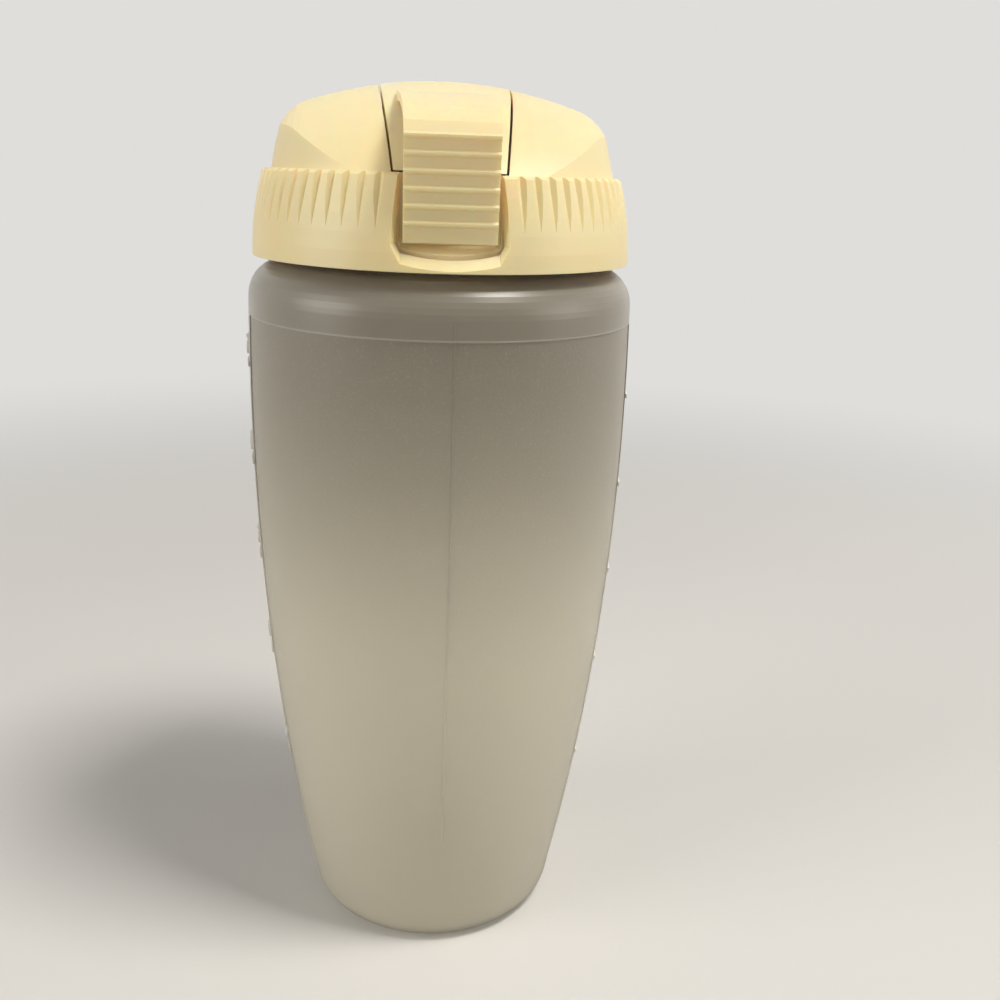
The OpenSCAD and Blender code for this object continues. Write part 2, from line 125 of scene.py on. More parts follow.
def close_piece(obj: bpy.types.Object, angle: float) -> None:
    """Merges doubles, turns faces outward, smooths and puts the object's origin at the world's.

    Args:
        obj: The finished mesh object.
        angle: Edges sharper than this many degrees stay sharp.
    """
    activate(obj)
    bpy.ops.object.transform_apply(location=True, rotation=True, scale=True)
    bpy.ops.object.mode_set(mode="EDIT")
    bpy.ops.mesh.select_all(action="SELECT")
    bpy.ops.mesh.remove_doubles(threshold=1e-6)
    bpy.ops.mesh.normals_make_consistent(inside=False)
    bpy.ops.object.mode_set(mode="OBJECT")
    bpy.ops.object.shade_smooth_by_angle(angle=math.radians(angle))
    deselect_all()


# ---------------------------------------------------------------- node helpers


@dataclass(frozen=True)
class Wiring:
    """Adds nodes to one tree and links them.

    Attributes:
        tree: The node tree.
    """

    tree: bpy.types.NodeTree

    def put(self, value: object, socket: bpy.types.NodeSocket) -> None:
        """Links a socket to an input, or sets the input to a number or colour.

        Args:
            value: An output socket, a number or a colour.
            socket: The input.
        """
        if isinstance(value, bpy.types.NodeSocket):
            self.tree.links.new(value, socket)
        elif isinstance(value, tuple) and len(value) == 3 and len(socket.default_value) == 4:
            socket.default_value = (*value, 1.0)
        else:
            socket.default_value = value

    def math(self, operation: str, *values: object) -> bpy.types.NodeSocket:
        """Adds a Math node.

        Args:
            operation: Its operation, such as MULTIPLY_ADD.
            *values: Its inputs, in order.

        Returns:
            Its output.
        """
        node = self.tree.nodes.new("ShaderNodeMath")
        node.operation = operation
        for value, socket in zip(values, node.inputs):
            self.put(value, socket)
        return node.outputs[0]

    def ramp(self, value: object, low: float, high: float) -> bpy.types.NodeSocket:
        """Adds a Map Range node that goes smoothly from 0 to 1.

        Args:
            value: What is mapped.
            low: Where the result is still 0.
            high: Where it reaches 1.

        Returns:
            The mapped value.
        """
        node = self.tree.nodes.new("ShaderNodeMapRange")
        node.interpolation_type = "SMOOTHSTEP"
        for name, number in (("Value", value), ("From Min", low), ("From Max", high)):
            self.put(number, node.inputs[name])
        return node.outputs["Result"]

    def mix(self, factor: object, first: object, second: object) -> bpy.types.NodeSocket:
        """Adds a colour Mix node.

        Args:
            factor: How much of the second colour there is.
            first: The first colour.
            second: The second colour.

        Returns:
            The mixed colour.
        """
        node = self.tree.nodes.new("ShaderNodeMix")
        node.data_type = "RGBA"
        # The node has an A, a B and a Result for each data type, so the colour's go by number
        self.put(factor, node.inputs[0])
        self.put(first, node.inputs[6])
        self.put(second, node.inputs[7])
        return node.outputs[2]

    def noise(
        self, vector: bpy.types.NodeSocket, scale: object, detail: float = 3.0
    ) -> bpy.types.NodeSocket:
        """Adds a Noise Texture node.

        Args:
            vector: Its coordinates.
            scale: Its scale.
            detail: Its detail.

        Returns:
            Its value.
        """
        node = self.tree.nodes.new("ShaderNodeTexNoise")
        self.put(vector, node.inputs["Vector"])
        self.put(scale, node.inputs["Scale"])
        node.inputs["Detail"].default_value = detail
        return node.outputs["Fac"]

    def bump(
        self, height: bpy.types.NodeSocket, distance: float, strength: float
    ) -> bpy.types.NodeSocket:
        """Adds a Bump node.

        Args:
            height: What it raises.
            distance: How high, in metres.
            strength: How strongly.

        Returns:
            The bumped normal.
        """
        node = self.tree.nodes.new("ShaderNodeBump")
        self.put(height, node.inputs["Height"])
        node.inputs["Distance"].default_value = distance
        node.inputs["Strength"].default_value = strength
        return node.outputs["Normal"]


def grain_group() -> bpy.types.NodeTree:
    """Builds the group that every plastic uses for moulding grain, mottle and handling marks.

    Returns:
        The node group, with Height, Mottle and Rough outputs.
    """
    group = bpy.data.node_groups.new("MouldedGrain", "ShaderNodeTree")
    for name in ("Grain Scale", "Mottle Scale", "Rough", "Rough Spread"):
        group.interface.new_socket(name=name, in_out="INPUT", socket_type="NodeSocketFloat")
    for name in ("Height", "Mottle", "Rough"):
        group.interface.new_socket(name=name, in_out="OUTPUT", socket_type="NodeSocketFloat")
    wire = Wiring(group)
    entry, leave = group.nodes.new("NodeGroupInput"), group.nodes.new("NodeGroupOutput")
    place = group.nodes.new("ShaderNodeTexCoord").outputs["Object"]
    grain = wire.noise(place, entry.outputs["Grain Scale"])
    mottle = wire.noise(place, entry.outputs["Mottle Scale"], 4.0)
    stretch = group.nodes.new("ShaderNodeMapping")
    stretch.inputs["Scale"].default_value = SCUFF_STRETCH
    wire.put(place, stretch.inputs["Vector"])
    scuff = wire.ramp(wire.noise(stretch.outputs["Vector"], 1.0, 2.0), *SCUFF_RANGE)
    uneven = wire.math("SUBTRACT", mottle, 0.5)
    rough = wire.math("MULTIPLY_ADD", uneven, entry.outputs["Rough Spread"], entry.outputs["Rough"])
    wire.put(grain, leave.inputs["Height"])
    wire.put(mottle, leave.inputs["Mottle"])
    wire.put(wire.math("MULTIPLY_ADD", scuff, SCUFF_ROUGH, rough), leave.inputs["Rough"])
    return group


@dataclass(frozen=True)
class Grain:
    """How one material uses the grain group.

    Attributes:
        scale: Scale of the fine grain.
        mottle: Scale of the mottle.
        rough: Mean roughness.
        spread: How far the roughness strays from its mean.
    """

    scale: float
    mottle: float
    rough: float
    spread: float = 0.1

    def node(self, tree: bpy.types.NodeTree, group: bpy.types.NodeTree) -> bpy.types.Node:
        """Adds the group to a material.

        Args:
            tree: The material's tree.
            group: The shared grain group.

        Returns:
            The group's node.
        """
        node = tree.nodes.new("ShaderNodeGroup")
        node.node_tree = group
        node.inputs["Grain Scale"].default_value = self.scale
        node.inputs["Mottle Scale"].default_value = self.mottle
        node.inputs["Rough"].default_value = self.rough
        node.inputs["Rough Spread"].default_value = self.spread
        return node


# ---------------------------------------------------------------- finishes


@dataclass(frozen=True)
class MouldedPlastic:
    """An opaque moulded plastic, such as the cap's ivory polypropylene.

    Attributes:
        name: The material's name.
        light: Base colour where the mottle is lightest.
        deep: Base colour where it is deepest.
        grain: Its grain and roughness.
        mottle_range: The mottle's values between which the colour changes.
        grain_h: Height of the grain in metres.
        grain_bump: Strength of its bump.
        glow: Weight of the light that spreads inside the plastic.
        glow_depth: How deep that light goes, in metres.
        glow_colour: How far each colour of it goes, as a share of that depth.
    """

    name: str
    light: Triple
    deep: Triple
    grain: Grain = Grain(1400.0, 30.0, 0.4)
    mottle_range: Span = (0.35, 0.65)
    grain_h: float = 0.01 * MM
    grain_bump: float = 0.6
    glow: float = 0.45
    glow_depth: float = 4 * MM
    glow_colour: Triple = (1.0, 0.5, 0.15)

    def build(self, group: bpy.types.NodeTree) -> bpy.types.Material:
        """Builds the material.

        Args:
            group: The shared grain group.

        Returns:
            The material, ready for a slot.
        """
        material = bpy.data.materials.new(self.name)
        material.use_nodes = True
        tree = material.node_tree
        wire = Wiring(tree)
        shader = tree.nodes["Principled BSDF"]
        grain = self.grain.node(tree, group)
        mottle = wire.ramp(grain.outputs["Mottle"], *self.mottle_range)
        wire.put(wire.mix(mottle, self.deep, self.light), shader.inputs["Base Color"])
        wire.put(grain.outputs["Rough"], shader.inputs["Roughness"])
        normal = wire.bump(grain.outputs["Height"], self.grain_h, self.grain_bump)
        wire.put(normal, shader.inputs["Normal"])
        shader.inputs["IOR"].default_value = PLASTIC_IOR
        shader.inputs["Subsurface Weight"].default_value = self.glow
        shader.inputs["Subsurface Radius"].default_value = self.glow_colour
        shader.inputs["Subsurface Scale"].default_value = self.glow_depth
        return material


@dataclass(frozen=True)
class Wall:
    """The bottle's outer wall, as its material has to know it.

    Attributes:
        belly_r: Radius at the widest point, in metres.
        belly_z: Height of the widest point.
        curve: Radius of the wall's long arc.
        panel_top: Height of the frosted panel's upper edge.
        strip_half: Half the angle of each smooth side strip, in degrees.
    """

    belly_r: float
    belly_z: float
    curve: float
    panel_top: float
    strip_half: float


@dataclass(frozen=True)
class FrostedPlastic:
    """The bottle's cloudy plastic: grained panels, a smooth band, side strips and white marks, with
    painted shade near the shoulder and a painted sheen along its rims.

    Attributes:
        name: The material's name.
        wall: The wall that it covers.
        foot: Base colour at the foot.
        middle: Base colour of the lower half, where the wall is palest.
        high: Base colour near the shoulder, a painted shade where the cap shades the inside of the
            bottle.
        edge: Pale base colour, for the flecks and the line, and for the painted sheen where the
            wall is seen on edge.
        mark: Base colour of the raised marks.
        grain: Its grain and roughness.
        clear: Weight of the light that passes through.
        foot_fade: Heights between which the foot's colour turns into the lower half's.
        shoulder_shade_fade: Heights between which that turns into the painted shade near the
            shoulder.
        cloud_scale: Scale of the clouds that make these heights uneven.
        cloud_sway: How far they shift a height, in metres.
        rim_sheen_blend: Blend of the Layer Weight node that finds where the wall is seen on edge,
            for the painted rim sheen.
        rim_sheen_range: Its values between which the painted rim sheen comes in.
        rim_sheen_most: Largest share of the painted rim sheen.
        fleck_range: Values of the grain between which a pale fleck comes in.
        fleck_most: Largest share of pale colour in a fleck.
        line_half: Half the width of the pale line along the panel's upper edge.
        line_most: Share of pale colour in that line.
        mark_proud: What stands this far off the wall's arc is a raised mark.
        panel_rough: How much rougher the panel is than the smooth parts.
        grain_h: Height of the panel's grain in metres.
        grain_bump: Strength of its bump.
    """

    name: str
    wall: Wall
    foot: Triple = (0.93, 0.89, 0.76)
    middle: Triple = (0.96, 0.92, 0.80)
    # Painted shade: much darker near the shoulder, standing in for the cap's shadow inside the
    # bottle
    high: Triple = (0.46, 0.42, 0.34)
    # Pale colour of the flecks and the line, and also of the painted rim sheen
    edge: Triple = (0.96, 0.93, 0.84)
    mark: Triple = (0.93, 0.92, 0.88)
    grain: Grain = Grain(2200.0, 16.0, 0.34, 0.14)
    clear: float = 0.65
    foot_fade: Span = (5 * MM, 60 * MM)
    shoulder_shade_fade: Span = (70 * MM, 150 * MM)
    cloud_scale: float = 9.0
    cloud_sway: float = 20 * MM
    rim_sheen_blend: float = 0.25
    rim_sheen_range: Span = (0.05, 0.8)
    rim_sheen_most: float = 0.8
    fleck_range: Span = (0.52, 0.8)
    fleck_most: float = 0.3
    line_half: float = 0.22 * MM
    line_most: float = 0.5
    mark_proud: float = 0.12 * MM
    panel_rough: float = 0.2
    grain_h: float = 0.06 * MM
    grain_bump: float = 0.7

    def build(self, group: bpy.types.NodeTree) -> bpy.types.Material:
        """Builds the material.

        Args:
            group: The shared grain group.

        Returns:
            The material, ready for a slot.
        """
        material = bpy.data.materials.new(self.name)
        material.use_nodes = True
        tree = material.node_tree
        wire = Wiring(tree)
        shader = tree.nodes["Principled BSDF"]
        place = tree.nodes.new("ShaderNodeTexCoord").outputs["Object"]
        parts = tree.nodes.new("ShaderNodeSeparateXYZ")
        wire.put(place, parts.inputs[0])
        x, y, z = parts.outputs
        below = wire.math("LESS_THAN", z, self.wall.panel_top)
        panel = wire.math("MULTIPLY", below, self.off_strips(wire, x, y))
        mark = wire.math("MULTIPLY", below, self.raised(wire, x, y, z))
        grain = self.grain.node(tree, group)

        colour = self.by_height(wire, place, z)
        # Painted sheen: the wall is painted paler where it is seen on edge, standing in for a
        # bright rim
        facing = tree.nodes.new("ShaderNodeLayerWeight")
        facing.inputs["Blend"].default_value = self.rim_sheen_blend
        painted_rim_sheen = wire.ramp(facing.outputs["Facing"], *self.rim_sheen_range)
        colour = wire.mix(wire.math("MULTIPLY", painted_rim_sheen, self.rim_sheen_most), colour, self.edge)
        fleck = wire.math("MULTIPLY", wire.ramp(grain.outputs["Height"], *self.fleck_range), panel)
        colour = wire.mix(wire.math("MULTIPLY", fleck, self.fleck_most), colour, self.edge)
        from_line = wire.math("ABSOLUTE", wire.math("SUBTRACT", z, self.wall.panel_top))
        line = wire.math("LESS_THAN", from_line, self.line_half)
        colour = wire.mix(wire.math("MULTIPLY", line, self.line_most), colour, self.edge)
        wire.put(wire.mix(mark, colour, self.mark), shader.inputs["Base Color"])

        rough = wire.math("MULTIPLY_ADD", panel, self.panel_rough, grain.outputs["Rough"])
        wire.put(rough, shader.inputs["Roughness"])
        height = wire.math("MULTIPLY", grain.outputs["Height"], panel)
        wire.put(wire.bump(height, self.grain_h, self.grain_bump), shader.inputs["Normal"])
        shader.inputs["IOR"].default_value = PLASTIC_IOR
        clear = wire.math("MULTIPLY", wire.math("SUBTRACT", 1.0, mark), self.clear)
        wire.put(clear, shader.inputs["Transmission Weight"])
        return material

    def off_strips(
        self, wire: Wiring, x: bpy.types.NodeSocket, y: bpy.types.NodeSocket
    ) -> bpy.types.NodeSocket:
        """Tells the front and back of the wall from the two side strips.

        Args:
            wire: The material's wiring.
            x: Place across the bottle.
            y: Place from front to back.

        Returns:
            1 outside the strips and 0 on them.
        """
        round_y = wire.math("ABSOLUTE", wire.math("SINE", wire.math("ARCTAN2", y, x)))
        return wire.math("GREATER_THAN", round_y, math.sin(math.radians(self.wall.strip_half)))

    def raised(
        self,
        wire: Wiring,
        x: bpy.types.NodeSocket,
        y: bpy.types.NodeSocket,
        z: bpy.types.NodeSocket,
    ) -> bpy.types.NodeSocket:
        """Tells the raised marks, which stand proud of the wall's long arc, from the wall.

        Args:
            wire: The material's wiring.
            x: Place across the bottle.
            y: Place from front to back.
            z: Height.

        Returns:
            1 on a mark and 0 elsewhere.
        """
        reach = wire.math("SQRT", wire.math("MULTIPLY_ADD", x, x, wire.math("MULTIPLY", y, y)))
        off = wire.math("SUBTRACT", z, self.wall.belly_z)
        fall = wire.math("SUBTRACT", self.wall.curve**2, wire.math("MULTIPLY", off, off))
        centre_r = self.wall.belly_r - self.wall.curve
        from_centre = wire.math("SUBTRACT", reach, centre_r)
        proud = wire.math("SUBTRACT", from_centre, wire.math("SQRT", fall))
        return wire.math("GREATER_THAN", proud, self.mark_proud)

    def by_height(
        self, wire: Wiring, place: bpy.types.NodeSocket, z: bpy.types.NodeSocket
    ) -> bpy.types.NodeSocket:
        """Colours the plastic from foot to shoulder, with uneven borders, and paints shade that
        darkens it towards the shoulder.

        Args:
            wire: The material's wiring.
            place: Object coordinates.
            z: Height.

        Returns:
            The colour at each height.
        """
        cloud = wire.noise(place, self.cloud_scale, 2.0)
        rise = wire.math("MULTIPLY_ADD", wire.math("SUBTRACT", cloud, 0.5), self.cloud_sway, z)
        lower = wire.mix(wire.ramp(rise, *self.foot_fade), self.foot, self.middle)
        # Painted shade: the colour darkens towards the shoulder, where the cap shades the inside
        return wire.mix(wire.ramp(rise, *self.shoulder_shade_fade), lower, self.high)


def dress(node: str, material: bpy.types.Material) -> None:
    """Puts a material into every slot of a CAD node.

    Args:
        node: The node's name.
        material: Its finish.
    """
    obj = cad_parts[node]
    if not obj.material_slots:
        obj.data.materials.append(material)
    for slot in obj.material_slots:
        slot.material = material
    LOG.info("dressed %s in %s", node, material.name)


# ---------------------------------------------------------------- the pieces


@dataclass
class ThreadRidge:
    """One raised screw ridge, on the neck or inside the cap's sleeve.

    Attributes:
        name: The piece's name.
        body: The body it rides on.
        root_r: Radius of the wall that carries it.
        crest_r: Radius of its crest.
        low_z: Height of its lower end.
        turns: Number of turns.
        lead: Rise in one turn.
        root_w: Width at the wall.
        crest_w: Width at the crest.
        sunk: How deep its foot lies inside the wall.
        steps: Steps in one turn.
    """

    name: str
    body: Body
    root_r: float
    crest_r: float
    low_z: float
    turns: float = 1.25
    lead: float = 5 * MM
    root_w: float = 2.5 * MM
    crest_w: float = 1.1 * MM
    sunk: float = 0.25 * MM
    steps: int = 72

    def build(self, material: bpy.types.Material) -> None:
        """Winds the ridge's outline round the axis and closes its ends.

        Args:
            material: The finish of the wall that carries it.
        """
        deselect_all()
        sign = 1.0 if self.crest_r > self.root_r else -1.0
        sunk_r = self.root_r - sign * self.sunk
        middle = (sunk_r + self.crest_r) / 2
        centre = (middle, 0, self.low_z)
        bpy.ops.mesh.primitive_plane_add(size=1.0, location=centre, rotation=(math.pi / 2, 0, 0))
        ridge = bpy.context.object
        ridge.name = ridge.data.name = self.name
        ridge.scale = (abs(self.crest_r - sunk_r), self.root_w, 1)
        bpy.ops.object.transform_apply(location=True, rotation=True, scale=True)
        edit_select(ridge, lambda p: sign * (p.x - middle) > 0)
        narrow = (1, 1, self.crest_w / self.root_w)
        bpy.ops.transform.resize(value=narrow, center_override=centre)
        bpy.ops.mesh.select_all(action="SELECT")
        bpy.ops.mesh.delete(type="ONLY_FACE")
        bpy.ops.object.mode_set(mode="OBJECT")
        screw = ridge.modifiers.new("wind", "SCREW")
        screw.axis = "Z"
        screw.angle = math.tau * self.turns
        screw.screw_offset = self.lead * self.turns
        screw.steps = screw.render_steps = int(self.steps * self.turns)
        screw.use_normal_calculate = True
        apply_modifiers(ridge)
        activate(ridge)
        bpy.ops.object.mode_set(mode="EDIT")
        bpy.ops.mesh.select_mode(type="EDGE")
        bpy.ops.mesh.select_all(action="DESELECT")
        bpy.ops.mesh.select_non_manifold()
        bpy.ops.mesh.fill_holes(sides=4)
        bpy.ops.object.mode_set(mode="OBJECT")
        close_piece(ridge, 40)
        ridge.data.materials.append(material)
        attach(ridge, self.body.value)
        LOG.info("built %s", self.name)


@dataclass
class Bottle:
    """The frosted bottle: its finish, neck thread, parting line and measuring numbers.

    Sizes are in metres. Those that the solid has too are the solid's own.

    Attributes:
        body_d: Width at the widest point.
        belly_z: Height of the widest point.
        base_d: Width that the long arc has at the table.
        wall: Thickness of the wall.
        floor_z: Height of the inner floor.
        neck_r: Radius of the neck.
        thread_h: How far the thread stands out.
        thread_z: Height where the thread starts.
        panel_top: Height of the frosted panels' upper edge.
        panel_step: How far the panels lie below the full curve.
        shoulder_z: Height where the shoulder starts.
        strip_half: Half the angle of a side strip, in degrees.
        seam_low: Height where the parting line starts.
        seam_turn: Degrees that the parting line lies off the middle.
        seam_r: Radius of the line's own section.
        seam_proud: How far the line stands out of the wall.
        seam_steps: Segments of the full ring that the line is cut from.
        marks: Number of marks on each side.
        digit_h: Height of a digit.
        digit_share: Share of the font's size that a digit is high.
        digit_out: Half a digit's thickness.
        digit_bevel: Bevel of a digit's edges.
        digit_sunk: How far the middle of its thickness lies below the wall.
        digit_gap: Space between a mark and the digits above it.
        print_finish: Finish of the digits.
    """

    body_d: float = 87.2 * MM
    belly_z: float = 132 * MM
    base_d: float = 60.4 * MM
    wall: float = 1.5 * MM
    floor_z: float = 3.5 * MM
    neck_r: float = 33.44 * MM
    thread_h: float = 1.3 * MM
    thread_z: float = 168.6 * MM
    panel_top: float = 150.3 * MM
    panel_step: float = 0.25 * MM
    shoulder_z: float = 153.5 * MM
    strip_half: float = 14.0
    seam_low: float = 32 * MM
    seam_turn: float = 1.2
    seam_r: float = 0.3 * MM
    seam_proud: float = 0.09 * MM
    seam_steps: int = 2400
    marks: int = 5
    digit_h: float = 4.4 * MM
    digit_share: float = 0.7
    digit_out: float = 0.4 * MM
    digit_bevel: float = 0.08 * MM
    digit_sunk: float = 0.1 * MM
    digit_gap: float = 1.2 * MM
    print_finish: MouldedPlastic = MouldedPlastic(
        "white_digits", (0.86, 0.85, 0.81), (0.80, 0.79, 0.75), Grain(1600.0, 60.0, 0.45), glow=0.0
    )

    @property
    def curve(self) -> float:
        """Radius of the wall's long arc."""
        bulge = (self.body_d - self.base_d) / 2
        return (self.belly_z**2 + bulge**2) / (2 * bulge)

    def wall_r(self, z: float) -> float:
        """Radius of the outer wall at a height.

        Args:
            z: Height above the table.

        Returns:
            The radius in metres.
        """
        return self.body_d / 2 - self.curve + math.sqrt(self.curve**2 - (z - self.belly_z) ** 2)

    def level(self, volume: float) -> float:
        """Height to which a volume fills the bottle.

        Args:
            volume: The volume in cubic metres.

        Returns:
            The height above the table.
        """
        step, held, z = 0.1 * MM, 0.0, self.floor_z
        while held < volume:
            held += math.pi * (self.wall_r(z) - self.wall) ** 2 * step
            z += step
        return z

    def seam(self, material: bpy.types.Material) -> None:
        """Raises the fine line up the front and the back where the mould's halves met.

        Args:
            material: The wall's finish.
        """
        for side, turn in (("front", 0.0), ("back", 180.0)):
            panel = (self.seam_low, self.panel_top)
            band = (self.panel_top, self.shoulder_z)
            self.seam_arc(f"seam_{side}_panel", turn, panel, self.panel_step, material)
            self.seam_arc(f"seam_{side}_band", turn, band, 0.0, material)

    def seam_arc(
        self, name: str, turn: float, span: Span, step: float, material: bpy.types.Material
    ) -> None:
        """Cuts one stretch of the line out of a thin ring that has the wall's long curve.

        Args:
            name: The piece's name.
            turn: Degrees round from the front.
            span: Heights of its lower and upper end.
            step: How far the surface there lies below the bottle's full curve.
            material: The wall's finish.
        """
        deselect_all()
        bpy.ops.mesh.primitive_torus_add(
            location=(0.0, self.curve - self.body_d / 2, self.belly_z),
            rotation=(0, math.pi / 2, 0),
            major_radius=self.curve - step + self.seam_proud - self.seam_r,
            minor_radius=self.seam_r,
            major_segments=self.seam_steps,
            minor_segments=8,
        )
        line = bpy.context.object
        line.name = line.data.name = name
        bpy.ops.object.transform_apply(location=True, rotation=True, scale=True)
        edit_select(line, lambda p: p.y > 0)
        bpy.ops.mesh.delete(type="VERT")
        for height, upper in zip(span, (False, True)):
            bpy.ops.mesh.select_all(action="SELECT")
            bpy.ops.mesh.bisect(
                plane_co=(0, 0, height),
                plane_no=(0, 0, 1),
                use_fill=True,
                clear_inner=not upper,
                clear_outer=upper,
            )
        bpy.ops.object.mode_set(mode="OBJECT")
        line.rotation_euler = Euler((0, 0, math.radians(turn + self.seam_turn)))
        close_piece(line, 40)
        line.data.materials.append(material)
        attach(line, Body.VESSEL.value)
        LOG.info("built %s", name)

    def numbers(self, material: bpy.types.Material) -> None:
        """Raises the volume numbers above the marks, millilitres left and ounces right.

        Args:
            material: The digits' finish.
        """
        for i in range(1, self.marks + 1):
            for side, step, volume in ((Side.MILLILITRES, 125, 125e-6), (Side.OUNCES, 4, 118.3e-6)):
                height = self.level(volume * i) + self.digit_h / 2 + self.digit_gap
                self.number(str(step * i), side, height, material)

    def number(self, label: str, side: Side, z: float, material: bpy.types.Material) -> None:
        """Raises one number out of a side strip.

        Args:
            label: The digits.
            side: The strip that carries it.
            z: Height of the digits' middle.
            material: The digits' finish.
        """
        deselect_all()
        bpy.ops.object.text_add()
        text = bpy.context.object
        text.data.body = label
        text.data.size = self.digit_h / self.digit_share
        text.data.extrude = self.digit_out
        text.data.bevel_depth = self.digit_bevel
        text.data.bevel_resolution = 1
        text.data.align_x = text.data.align_y = "CENTER"
        activate(text)
        bpy.ops.object.convert(target="MESH")
        piece = bpy.context.object
        piece.name = piece.data.name = f"number_{label}"
        stand = Matrix.Rotation(math.radians(90), 4, "X")
        tilt = Matrix.Rotation(math.asin((self.belly_z - z) / self.curve), 4, "X")
        turn = Matrix.Rotation(math.radians(90 * side.value), 4, "Z")
        out = Matrix.Translation((0, -(self.wall_r(z) - self.digit_sunk), z))
        piece.matrix_world = turn @ out @ tilt @ stand
        close_piece(piece, 30)
        piece.data.materials.append(material)
        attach(piece, Body.VESSEL.value)
        LOG.info("built %s", piece.name)

    def build(self, group: bpy.types.NodeTree) -> None:
        """Dresses the bottle and makes what is moulded on it.

        Args:
            group: The shared grain group.
        """
        wall = Wall(self.body_d / 2, self.belly_z, self.curve, self.panel_top, self.strip_half)
        frosted = FrostedPlastic("frosted_bottle", wall).build(group)
        digits = self.print_finish.build(group)
        dress("bottle", frosted)
        crest_r = self.neck_r + self.thread_h
        ThreadRidge("neck_thread", Body.VESSEL, self.neck_r, crest_r, self.thread_z).build(frosted)
        self.seam(frosted)
        self.numbers(digits)


@dataclass
class ScrewCap:
    """The ivory screw cap and the thread inside its sleeve.

    Attributes:
        bore_r: Radius inside the sleeve.
        thread_h: How far the thread stands out.
        thread_z: Height where the thread starts.
        finish: The cap's plastic.
    """

    bore_r: float = 35.04 * MM
    thread_h: float = 1.3 * MM
    thread_z: float = 166.3 * MM
    finish: MouldedPlastic = MouldedPlastic("ivory_cap", (0.95, 0.77, 0.44), (0.93, 0.73, 0.39))

    def build(self, group: bpy.types.NodeTree) -> None:
        """Dresses the cap and winds its thread.

        Args:
            group: The shared grain group.
        """
        ivory = self.finish.build(group)
        dress("screw_cap", ivory)
        crest_r = self.bore_r - self.thread_h
        ThreadRidge("cap_thread", Body.CAP, self.bore_r, crest_r, self.thread_z).build(ivory)


@dataclass
class FlipLid:
    """The ivory flip lid with its thumb lever.

    Attributes:
        finish: The lid's plastic, a little glossier than the cap's.
    """

    finish: MouldedPlastic = MouldedPlastic(
        "ivory_lid", (0.95, 0.79, 0.47), (0.93, 0.75, 0.42), Grain(1400.0, 30.0, 0.36)
    )

    def build(self, group: bpy.types.NodeTree) -> None:
        """Dresses the lid.

        Args:
            group: The shared grain group.
        """
        dress("flip_lid", self.finish.build(group))


@dataclass
class Seals:
    """The soft ring under the cap and the stopper under the lid.

    Attributes:
        finish: Their silicone.
    """

    finish: MouldedPlastic = MouldedPlastic(
        "seal_rubber",
        (0.80, 0.78, 0.72),
        (0.72, 0.70, 0.64),
        Grain(1800.0, 45.0, 0.55),
        glow=0.1,
        glow_depth=1.5 * MM,
    )

    def build(self, group: bpy.types.NodeTree) -> None:
        """Dresses both seals.

        Args:
            group: The shared grain group.
        """
        rubber = self.finish.build(group)
        dress("cap_gasket", rubber)
        dress("spout_seal", rubber)


# ---------------------------------------------------------------- the studio


@dataclass(frozen=True)
class SoftLamp:
    """One soft square lamp that faces the bottle.

    Attributes:
        name: Its name.
        place: Where it hangs.
        size: Its side in metres.
        level: How bright it renders a white face that looks straight at it from the bottle.
        colour: Its colour.
    """

    name: str
    place: Triple
    size: float
    level: float
    colour: Triple

    def build(self) -> None:
        """Hangs the lamp."""
        aim = Vector(LAMP_AIM) - Vector(self.place)
        data = bpy.data.lights.new(self.name, "AREA")
        data.size = self.size
        data.energy = self.level * math.pi**2 * aim.length_squared
        data.color = self.colour
        lamp = bpy.data.objects.new(self.name, data)
        bpy.context.scene.collection.objects.link(lamp)
        lamp.location = self.place
        lamp.rotation_euler = aim.to_track_quat("-Z", "Y").to_euler()


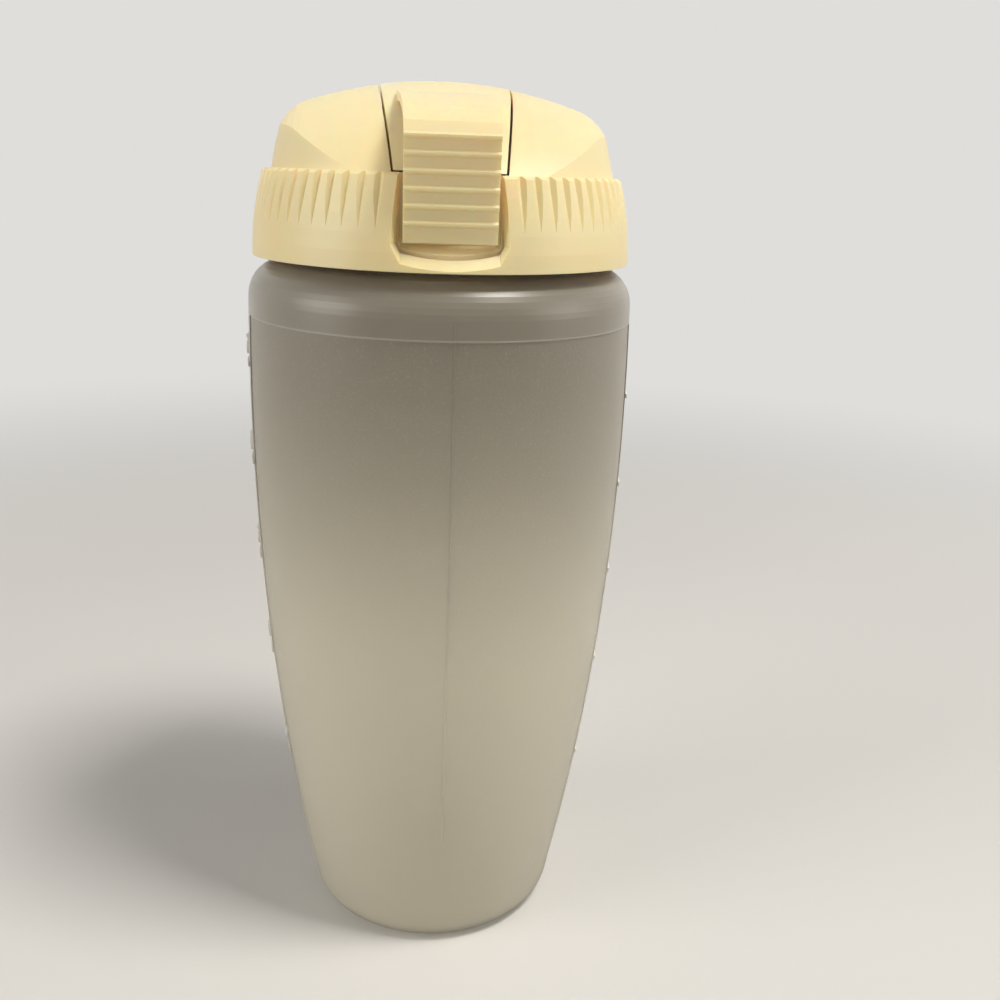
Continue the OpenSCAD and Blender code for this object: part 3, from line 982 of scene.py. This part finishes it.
@dataclass
class Studio:
    """A plain pale floor, soft light, and the camera at the photograph's angle.

    Attributes:
        lens: The camera's lens in millimetres.
        eye: Where the camera stands.
        right: The picture's rightward direction.
        down: The picture's downward direction.
        forward: Where the camera looks.
        ambient: Strength of the light from all round.
        air: Colour of that light.
        backdrop: Colour behind the floor.
        pale: Colour of the floor as it is seen.
        bounce: Colour of the floor as it lights the bottle.
        floor_side: Length of the floor's side.
        fade_from: Distance at which the floor starts to fade into the backdrop.
        fade_to: Distance at which it has done so.
        lamps: The lamps.
    """

    lens: float = 37.19
    eye: Triple = (-0.009591, -0.241141, 0.181688)
    right: Triple = (0.995206, -0.091800, 0.033730)
    down: Triple = (0.004241, -0.304058, -0.952644)
    forward: Triple = (0.097709, 0.948220, -0.302211)
    ambient: float = 0.25
    air: Triple = (1.0, 0.98, 0.95)
    backdrop: Triple = (0.74, 0.73, 0.71)
    pale: Triple = (0.74, 0.73, 0.71)
    bounce: Triple = (0.50, 0.49, 0.47)
    floor_side: float = 40.0
    fade_from: float = 0.2
    fade_to: float = 0.75
    lamps: tuple[SoftLamp, ...] = (
        SoftLamp("key", (0.36, -0.22, 1.02), 0.26, 0.71, (1.0, 0.96, 0.9)),
        SoftLamp("right", (1.0, -0.3, 0.4), 0.6, 0.27, (1.0, 0.97, 0.93)),
        SoftLamp("left", (-1.0, -0.35, 0.4), 0.6, 0.46, (1.0, 0.96, 0.91)),
    )

    def floor(self) -> None:
        """Lays the floor, which keeps the bottle's shadow and fades into the backdrop far off."""
        deselect_all()
        bpy.ops.mesh.primitive_plane_add(size=self.floor_side, location=(0, 0, 0))
        ground = bpy.context.object
        ground.name = ground.data.name = "floor"
        material = bpy.data.materials.new("pale_floor")
        material.use_nodes = True
        tree = material.node_tree
        wire = Wiring(tree)
        shader = tree.nodes["Principled BSDF"]
        seen = tree.nodes.new("ShaderNodeLightPath").outputs["Is Camera Ray"]
        wire.put(wire.mix(seen, self.bounce, self.pale), shader.inputs["Base Color"])
        shader.inputs["Roughness"].default_value = 0.9
        shader.inputs["Specular IOR Level"].default_value = 0.1
        far = tree.nodes.new("ShaderNodeVectorMath")
        far.operation = "LENGTH"
        wire.put(tree.nodes.new("ShaderNodeTexCoord").outputs["Object"], far.inputs[0])
        fade = wire.ramp(far.outputs["Value"], self.fade_from, self.fade_to)
        plain = tree.nodes.new("ShaderNodeEmission")
        wire.put(self.backdrop, plain.inputs["Color"])
        mixer = tree.nodes.new("ShaderNodeMixShader")
        wire.put(wire.math("MULTIPLY", fade, self.shown(tree)), mixer.inputs[0])
        wire.put(shader.outputs[0], mixer.inputs[1])
        wire.put(plain.outputs[0], mixer.inputs[2])
        wire.put(mixer.outputs[0], tree.nodes["Material Output"].inputs["Surface"])
        ground.data.materials.append(material)

    def shown(self, tree: bpy.types.NodeTree) -> bpy.types.NodeSocket:
        """Tells the rays that show the backdrop from those that only light the bottle.

        Args:
            tree: The tree that needs to know.

        Returns:
            1 for camera, glossy and transmission rays, and 0 for the others.
        """
        wire = Wiring(tree)
        ray = tree.nodes.new("ShaderNodeLightPath").outputs
        carried = wire.math("MAXIMUM", ray["Is Glossy Ray"], ray["Is Transmission Ray"])
        return wire.math("MAXIMUM", ray["Is Camera Ray"], carried)

    def world(self) -> None:
        """Lights all round evenly, and shows the pale backdrop."""
        world = bpy.data.worlds.new("studio")
        bpy.context.scene.world = world
        world.use_nodes = True
        tree = world.node_tree
        wire = Wiring(tree)
        shade = tree.nodes["Background"]
        shown = self.shown(tree)
        wire.put(wire.mix(shown, self.air, self.backdrop), shade.inputs["Color"])
        strength = wire.math("MULTIPLY_ADD", shown, 1.0 - self.ambient, self.ambient)
        wire.put(strength, shade.inputs["Strength"])

    def camera(self) -> None:
        """Stands the camera where the photograph was taken from."""
        data = bpy.data.cameras.new("photo_view")
        data.sensor_width = 36.0
        data.lens = self.lens
        data.clip_start = 0.01
        camera = bpy.data.objects.new("photo_view", data)
        bpy.context.scene.collection.objects.link(camera)
        x, y, z = Vector(self.right), -Vector(self.down), -Vector(self.forward)
        turn = Matrix((x, y, z)).transposed().to_4x4()
        camera.matrix_world = Matrix.Translation(self.eye) @ turn
        bpy.context.scene.camera = camera

    def build(self) -> None:
        """Sets the whole studio up."""
        self.floor()
        self.world()
        for lamp in self.lamps:
            lamp.build()
        self.camera()
        bpy.context.scene.view_settings.view_transform = "Standard"
        LOG.info("studio ready")


def main() -> None:
    """Builds and dresses every piece in order."""
    logging.basicConfig(level=logging.INFO, format="%(name)s: %(message)s")
    group = grain_group()
    Bottle().build(group)
    ScrewCap().build(group)
    FlipLid().build(group)
    Seals().build(group)
    Studio().build()


if __name__ == "__main__":
    main()
